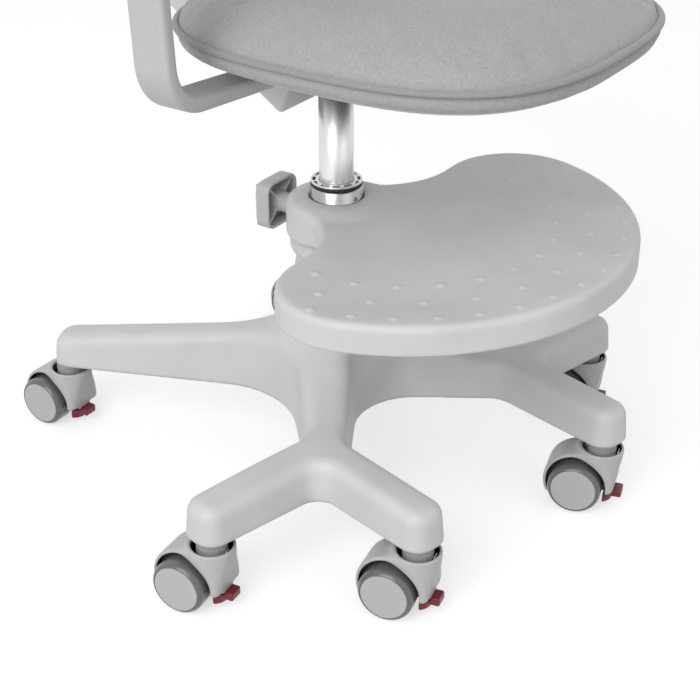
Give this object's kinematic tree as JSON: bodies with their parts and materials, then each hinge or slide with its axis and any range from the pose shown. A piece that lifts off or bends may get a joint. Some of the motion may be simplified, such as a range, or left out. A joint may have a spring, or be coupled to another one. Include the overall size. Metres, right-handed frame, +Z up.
{
  "type": "swivel chair",
  "caption": "Height-adjustable swivel study chair with a clamped swinging footrest, forked star base, braked twin castors and a padded seat, back and arms.",
  "frame": {"origin": "on the floor under the column", "axes": "+Z up along the column; the base faces -Y and is mirror-symmetric in X; seat and footrest are turned 14 degrees from -Y towards +X"},
  "size_m": [0.5896, 0.5791, 0.9044],
  "materials": {
    "nylon": "fine-grained satin",
    "hood": "satin",
    "wheel": "satin tread, brighter disc",
    "chrome": "bright",
    "steel": "plain",
    "brass": "plain",
    "black": "matte",
    "red": "satin",
    "fabric": "fine woven"
  },
  "bodies": {
    "base": {"star_base": "nylon", "column_tube": "chrome", "column_bush": "black", "column_screw": "steel", "lift_rod": "steel", "castor_stem_front_right": "steel", "castor_stem_side_right": "steel", "castor_stem_rear_right": "steel", "castor_stem_rear_left": "steel", "castor_stem_side_left": "steel", "castor_stem_front_left": "steel"},
    "footrest": {"footrest_plate": "nylon", "footrest_bush": "black", "clamp_insert": "brass"},
    "clamp_pad": {"clamp_pad": "brass"},
    "clamp_knob": {"clamp_knob": "hood", "clamp_stud": "steel"},
    "lift": {"lift_cylinder": "chrome"},
    "button": {"lift_button": "steel"},
    "seat": {"mechanism_housing": "black", "seat_pan": "nylon", "seat_cushion": "fabric", "armrest_bracket_left": "hood", "armrest_bracket_right": "hood", "arm_pad_left": "black", "arm_pad_right": "black", "back_carrier": "nylon"},
    "lever": {"height_lever": "black"},
    "back": {"back_shell": "nylon", "back_cushion": "fabric"},
    "castor_front_right": {"castor_hood_front_right": "hood", "castor_axle_front_right": "steel"},
    "wheel_front_right_a": {"castor_wheel_front_right_a": "wheel"},
    "wheel_front_right_b": {"castor_wheel_front_right_b": "wheel"},
    "brake_front_right": {"castor_brake_front_right": "red"},
    "castor_side_right": {"castor_hood_side_right": "hood", "castor_axle_side_right": "steel"},
    "wheel_side_right_a": {"castor_wheel_side_right_a": "wheel"},
    "wheel_side_right_b": {"castor_wheel_side_right_b": "wheel"},
    "brake_side_right": {"castor_brake_side_right": "red"},
    "castor_rear_right": {"castor_hood_rear_right": "hood", "castor_axle_rear_right": "steel"},
    "wheel_rear_right_a": {"castor_wheel_rear_right_a": "wheel"},
    "wheel_rear_right_b": {"castor_wheel_rear_right_b": "wheel"},
    "brake_rear_right": {"castor_brake_rear_right": "red"},
    "castor_rear_left": {"castor_hood_rear_left": "hood", "castor_axle_rear_left": "steel"},
    "wheel_rear_left_a": {"castor_wheel_rear_left_a": "wheel"},
    "wheel_rear_left_b": {"castor_wheel_rear_left_b": "wheel"},
    "brake_rear_left": {"castor_brake_rear_left": "red"},
    "castor_side_left": {"castor_hood_side_left": "hood", "castor_axle_side_left": "steel"},
    "wheel_side_left_a": {"castor_wheel_side_left_a": "wheel"},
    "wheel_side_left_b": {"castor_wheel_side_left_b": "wheel"},
    "brake_side_left": {"castor_brake_side_left": "red"},
    "castor_front_left": {"castor_hood_front_left": "hood", "castor_axle_front_left": "steel"},
    "wheel_front_left_a": {"castor_wheel_front_left_a": "wheel"},
    "wheel_front_left_b": {"castor_wheel_front_left_b": "wheel"},
    "brake_front_left": {"castor_brake_front_left": "red"}
  },
  "joints": [
    {"name": "footrest_swivel", "type": "hinge", "parent": "base", "child": "footrest", "pos_m": [0, 0, 0.25], "axis": [0, 0, 1], "continuous": true},
    {"name": "clamp_pad_slide", "type": "slide", "parent": "footrest", "child": "clamp_pad", "axis": [-0.2453, 0.9694, 0], "range_m": [0, 0.0016]},
    {"name": "clamp_knob_turn", "type": "hinge", "parent": "clamp_pad", "child": "clamp_knob", "pos_m": [0, 0, 0.261], "axis": [-0.2453, 0.9694, 0], "range_deg": [0, 450]},
    {"name": "lift_slide", "type": "slide", "parent": "base", "child": "lift", "axis": [0, 0, 1], "range_m": [-0.05, 0.07]},
    {"name": "seat_swivel", "type": "hinge", "parent": "lift", "child": "seat", "pos_m": [0, 0, 0.41], "axis": [0, 0, 1], "continuous": true},
    {"name": "lever_lift", "type": "hinge", "parent": "seat", "child": "lever", "pos_m": [0.05187, 0.01312, 0.424], "axis": [0.2453, -0.9694, 0], "range_deg": [0, 5], "stiffness_Nm_per_rad": 0.5},
    {"name": "button_press", "type": "slide", "parent": "lift", "child": "button", "axis": [0, 0, -1], "range_m": [0, 0.005], "stiffness_N_per_m": 300},
    {"name": "back_height", "type": "slide", "parent": "seat", "child": "back", "axis": [0, 0, 1], "range_m": [-0.03, 0.05]},
    {"name": "castor_front_right_swivel", "type": "hinge", "parent": "base", "child": "castor_front_right", "pos_m": [0.124, -0.245, 0.06], "axis": [0, 0, 1], "continuous": true},
    {"name": "wheel_spin_front_right_a", "type": "hinge", "parent": "castor_front_right", "child": "wheel_front_right_a", "pos_m": [0.11415, -0.22759, 0.026], "axis": [0.8704, 0.4924, 0], "continuous": true},
    {"name": "wheel_spin_front_right_b", "type": "hinge", "parent": "castor_front_right", "child": "wheel_front_right_b", "pos_m": [0.11415, -0.22759, 0.026], "axis": [0.8704, 0.4924, 0], "continuous": true},
    {"name": "brake_press_front_right", "type": "hinge", "parent": "castor_front_right", "child": "brake_front_right", "pos_m": [0.12794, -0.25196, 0.021], "axis": [0.8704, 0.4924, 0], "range_deg": [0, 10]},
    {"name": "castor_side_right_swivel", "type": "hinge", "parent": "base", "child": "castor_side_right", "pos_m": [0.252, -0.118, 0.06], "axis": [0, 0, 1], "continuous": true},
    {"name": "wheel_spin_side_right_a", "type": "hinge", "parent": "castor_side_right", "child": "wheel_side_right_a", "pos_m": [0.24261, -0.10034, 0.026], "axis": [0.8829, 0.4695, 0], "continuous": true},
    {"name": "wheel_spin_side_right_b", "type": "hinge", "parent": "castor_side_right", "child": "wheel_side_right_b", "pos_m": [0.24261, -0.10034, 0.026], "axis": [0.8829, 0.4695, 0], "continuous": true},
    {"name": "brake_press_side_right", "type": "hinge", "parent": "castor_side_right", "child": "brake_side_right", "pos_m": [0.25576, -0.12506, 0.021], "axis": [0.8829, 0.4695, 0], "range_deg": [0, 10]},
    {"name": "castor_rear_right_swivel", "type": "hinge", "parent": "base", "child": "castor_rear_right", "pos_m": [0.171, 0.232, 0.06], "axis": [0, 0, 1], "continuous": true},
    {"name": "wheel_spin_rear_right_a", "type": "hinge", "parent": "castor_rear_right", "child": "wheel_rear_right_a", "pos_m": [0.16351, 0.25054, 0.026], "axis": [0.9272, 0.3746, 0], "continuous": true},
    {"name": "wheel_spin_rear_right_b", "type": "hinge", "parent": "castor_rear_right", "child": "wheel_rear_right_b", "pos_m": [0.16351, 0.25054, 0.026], "axis": [0.9272, 0.3746, 0], "continuous": true},
    {"name": "brake_press_rear_right", "type": "hinge", "parent": "castor_rear_right", "child": "brake_rear_right", "pos_m": [0.174, 0.22458, 0.021], "axis": [0.9272, 0.3746, 0], "range_deg": [0, 10]},
    {"name": "castor_rear_left_swivel", "type": "hinge", "parent": "base", "child": "castor_rear_left", "pos_m": [-0.171, 0.232, 0.06], "axis": [0, 0, 1], "continuous": true},
    {"name": "wheel_spin_rear_left_a", "type": "hinge", "parent": "castor_rear_left", "child": "wheel_rear_left_a", "pos_m": [-0.17618, 0.25132, 0.026], "axis": [0.9659, 0.2588, 0], "continuous": true},
    {"name": "wheel_spin_rear_left_b", "type": "hinge", "parent": "castor_rear_left", "child": "wheel_rear_left_b", "pos_m": [-0.17618, 0.25132, 0.026], "axis": [0.9659, 0.2588, 0], "continuous": true},
    {"name": "brake_press_rear_left", "type": "hinge", "parent": "castor_rear_left", "child": "brake_rear_left", "pos_m": [-0.16893, 0.22427, 0.021], "axis": [0.9659, 0.2588, 0], "range_deg": [0, 10]},
    {"name": "castor_side_left_swivel", "type": "hinge", "parent": "base", "child": "castor_side_left", "pos_m": [-0.252, -0.118, 0.06], "axis": [0, 0, 1], "continuous": true},
    {"name": "wheel_spin_side_left_a", "type": "hinge", "parent": "castor_side_left", "child": "wheel_side_left_a", "pos_m": [-0.259, -0.09927, 0.026], "axis": [0.9367, 0.3502, 0], "continuous": true},
    {"name": "wheel_spin_side_left_b", "type": "hinge", "parent": "castor_side_left", "child": "wheel_side_left_b", "pos_m": [-0.259, -0.09927, 0.026], "axis": [0.9367, 0.3502, 0], "continuous": true},
    {"name": "brake_press_side_left", "type": "hinge", "parent": "castor_side_left", "child": "brake_side_left", "pos_m": [-0.2492, -0.12549, 0.021], "axis": [0.9367, 0.3502, 0], "range_deg": [0, 10]},
    {"name": "castor_front_left_swivel", "type": "hinge", "parent": "base", "child": "castor_front_left", "pos_m": [-0.124, -0.245, 0.06], "axis": [0, 0, 1], "continuous": true},
    {"name": "wheel_spin_front_left_a", "type": "hinge", "parent": "castor_front_left", "child": "wheel_front_left_a", "pos_m": [-0.13245, -0.22687, 0.026], "axis": [0.9063, 0.4226, 0], "continuous": true},
    {"name": "wheel_spin_front_left_b", "type": "hinge", "parent": "castor_front_left", "child": "wheel_front_left_b", "pos_m": [-0.13245, -0.22687, 0.026], "axis": [0.9063, 0.4226, 0], "continuous": true},
    {"name": "brake_press_front_left", "type": "hinge", "parent": "castor_front_left", "child": "brake_front_left", "pos_m": [-0.12062, -0.25225, 0.021], "axis": [0.9063, 0.4226, 0], "range_deg": [0, 10]}
  ],
  "couplings": [
    {"joint": "clamp_pad_slide", "follows": "clamp_knob_turn", "m_per_rad": 0.000199},
    {"joint": "button_press", "follows": "lever_lift", "m_per_rad": 0.0535}
  ]
}
